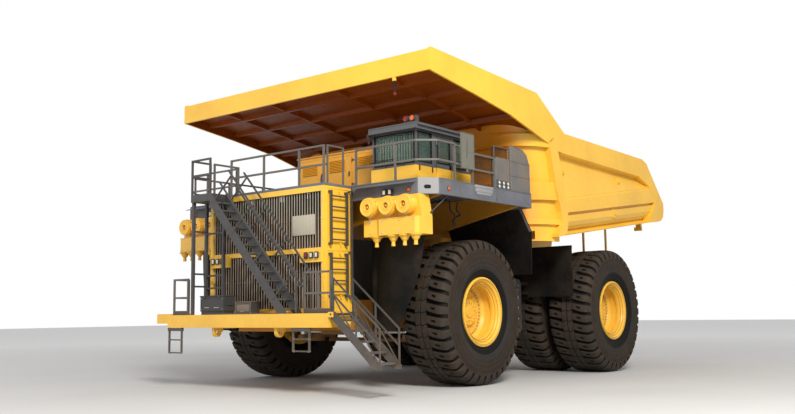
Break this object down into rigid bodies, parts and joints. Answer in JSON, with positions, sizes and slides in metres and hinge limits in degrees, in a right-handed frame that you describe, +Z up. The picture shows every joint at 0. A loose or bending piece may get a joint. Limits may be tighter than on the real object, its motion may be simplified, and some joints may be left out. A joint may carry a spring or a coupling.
{
  "type": "rigid-frame mining dump truck",
  "caption": "Off-highway dump truck with a canopied rock bed that tips on hoist cylinders, steered front wheels, a raised deck with a cab, and a stair across its radiator front.",
  "frame": {"origin": "on the ground at the middle of the truck's bounding box", "axes": "+X is the truck's left side, +Y is rearwards, +Z is up"},
  "size_m": [9.85, 16.2, 8.73],
  "materials": {
    "yellow_paint": "weathered satin",
    "stair_paint": "satin",
    "rail_paint": "satin",
    "deck_paint": "satin",
    "cab_paint": "satin",
    "grille_paint": "satin",
    "cab_glass": "tinted",
    "cab_trim": "matt",
    "black_box": "satin",
    "engine_metal": "oily",
    "axle_metal": "dusty",
    "rod_chrome": "polished",
    "flap_rubber": "matt",
    "tyre_rubber": "dusty",
    "rim_paint": "weathered satin",
    "lamp_housing": "gloss",
    "mirror_housing": "matt",
    "core_metal": "dusty"
  },
  "bodies": {
    "chassis": {"access_stairs": "stair_paint", "air_intakes": "yellow_paint", "bumper_boxes": "black_box", "cab_base": "yellow_paint", "cab_glazing": "cab_glass", "cab_interior": "cab_trim", "cab_shell": "cab_paint", "chassis_frame": "yellow_paint", "control_cabinet": "yellow_paint", "deck_supports": "yellow_paint", "engine": "engine_metal", "front_bumper": "yellow_paint", "grille_bars": "grille_paint", "ladders": "rail_paint", "lamps": "lamp_housing", "mid_mudguards": "flap_rubber", "mirrors": "mirror_housing", "radiator_core": "core_metal", "radiator_housing": "yellow_paint", "railings": "rail_paint", "rear_axle_housing": "axle_metal", "rear_mudguards": "flap_rubber", "side_guard_panels": "deck_paint", "side_tanks": "black_box", "splash_shields": "flap_rubber", "steering_barrels": "axle_metal", "upper_deck": "deck_paint"},
    "steer_left_body": {"knuckle_left": "axle_metal"},
    "steer_right_body": {"knuckle_right": "axle_metal"},
    "tie_rod_body": {"tie_rod": "axle_metal"},
    "steering_rods_body": {"steering_rods": "rod_chrome"},
    "front_wheel_left": {"front_tyre_left": "tyre_rubber", "front_rim_left": "rim_paint"},
    "front_wheel_right": {"front_tyre_right": "tyre_rubber", "front_rim_right": "rim_paint"},
    "rear_wheels_left": {"rear_tyres_left": "tyre_rubber", "rear_rims_left": "rim_paint"},
    "rear_wheels_right": {"rear_tyres_right": "tyre_rubber", "rear_rims_right": "rim_paint"},
    "bed": {"bed_floor": "yellow_paint", "bed_front_wall": "yellow_paint", "bed_sides": "yellow_paint", "bed_canopy": "yellow_paint"},
    "hoist_barrel_body": {"hoist_barrels": "yellow_paint"},
    "hoist_stage_body": {"hoist_stages": "rod_chrome"},
    "hoist_rod_body": {"hoist_rods": "rod_chrome"},
    "cab_door_body": {"cab_door": "cab_paint"},
    "boarding_stair_body": {"boarding_stair": "stair_paint"}
  },
  "joints": [
    {"name": "steer_left", "type": "hinge", "parent": "chassis", "child": "steer_left_body", "pos_m": [2.2, -3.1, 1.5], "axis": [0, 0, 1], "range_deg": [-30, 30]},
    {"name": "steer_right", "type": "hinge", "parent": "chassis", "child": "steer_right_body", "pos_m": [-2.2, -3.1, 1.5], "axis": [0, 0, 1], "range_deg": [-30, 30]},
    {"name": "tie_rod_pivot", "type": "hinge", "parent": "steer_left_body", "child": "tie_rod_body", "pos_m": [2.2, -2.35, 1.2], "axis": [0, 0, 1], "range_deg": [-30, 30]},
    {"name": "steering_cylinder_stroke", "type": "slide", "parent": "chassis", "child": "steering_rods_body", "axis": [1, 0, 0], "range_m": [-0.4, 0.4]},
    {"name": "front_wheel_left_spin", "type": "hinge", "parent": "steer_left_body", "child": "front_wheel_left", "pos_m": [3.575, -3.1, 2.015], "axis": [1, 0, 0], "continuous": true},
    {"name": "front_wheel_right_spin", "type": "hinge", "parent": "steer_right_body", "child": "front_wheel_right", "pos_m": [-3.575, -3.1, 2.015], "axis": [1, 0, 0], "continuous": true},
    {"name": "rear_wheels_left_spin", "type": "hinge", "parent": "chassis", "child": "rear_wheels_left", "pos_m": [3.23, 3.9, 2.015], "axis": [1, 0, 0], "continuous": true},
    {"name": "rear_wheels_right_spin", "type": "hinge", "parent": "chassis", "child": "rear_wheels_right", "pos_m": [-3.23, 3.9, 2.015], "axis": [1, 0, 0], "continuous": true},
    {"name": "bed_tip", "type": "hinge", "parent": "chassis", "child": "bed", "pos_m": [0, 5.3, 3], "axis": [-1, 0, 0], "range_deg": [0, 45]},
    {"name": "hoist_swing", "type": "hinge", "parent": "chassis", "child": "hoist_barrel_body", "pos_m": [1.42, 1.3, 1.5], "axis": [-1, 0, 0], "range_deg": [0, 28.11]},
    {"name": "hoist_first_stage", "type": "slide", "parent": "hoist_barrel_body", "child": "hoist_stage_body", "axis": [0, -0.1961, 0.9806], "range_m": [0, 1.536]},
    {"name": "hoist_second_stage", "type": "slide", "parent": "hoist_stage_body", "child": "hoist_rod_body", "axis": [0, -0.1961, 0.9806], "range_m": [0, 1.536]},
    {"name": "cab_door_hinge", "type": "hinge", "parent": "chassis", "child": "cab_door_body", "pos_m": [4.08, -4.93, 6.2], "axis": [0, 0, -1], "range_deg": [0, 88]},
    {"name": "boarding_stair_hinge", "type": "hinge", "parent": "chassis", "child": "boarding_stair_body", "pos_m": [3.14, -7.675, 2], "axis": [0, -1, 0], "range_deg": [0, 75]}
  ],
  "couplings": [
    {"joint": "steer_right", "follows": "steer_left", "ratio": 1},
    {"joint": "tie_rod_pivot", "follows": "steer_left", "ratio": -1},
    {"joint": "steering_cylinder_stroke", "follows": "steer_left", "m_per_rad": 0.716},
    {"joint": "hoist_swing", "follows": "bed_tip", "ratio": 0.6025},
    {"joint": "hoist_first_stage", "follows": "bed_tip", "m_per_rad": 1.9425},
    {"joint": "hoist_second_stage", "follows": "bed_tip", "m_per_rad": 1.9425}
  ]
}
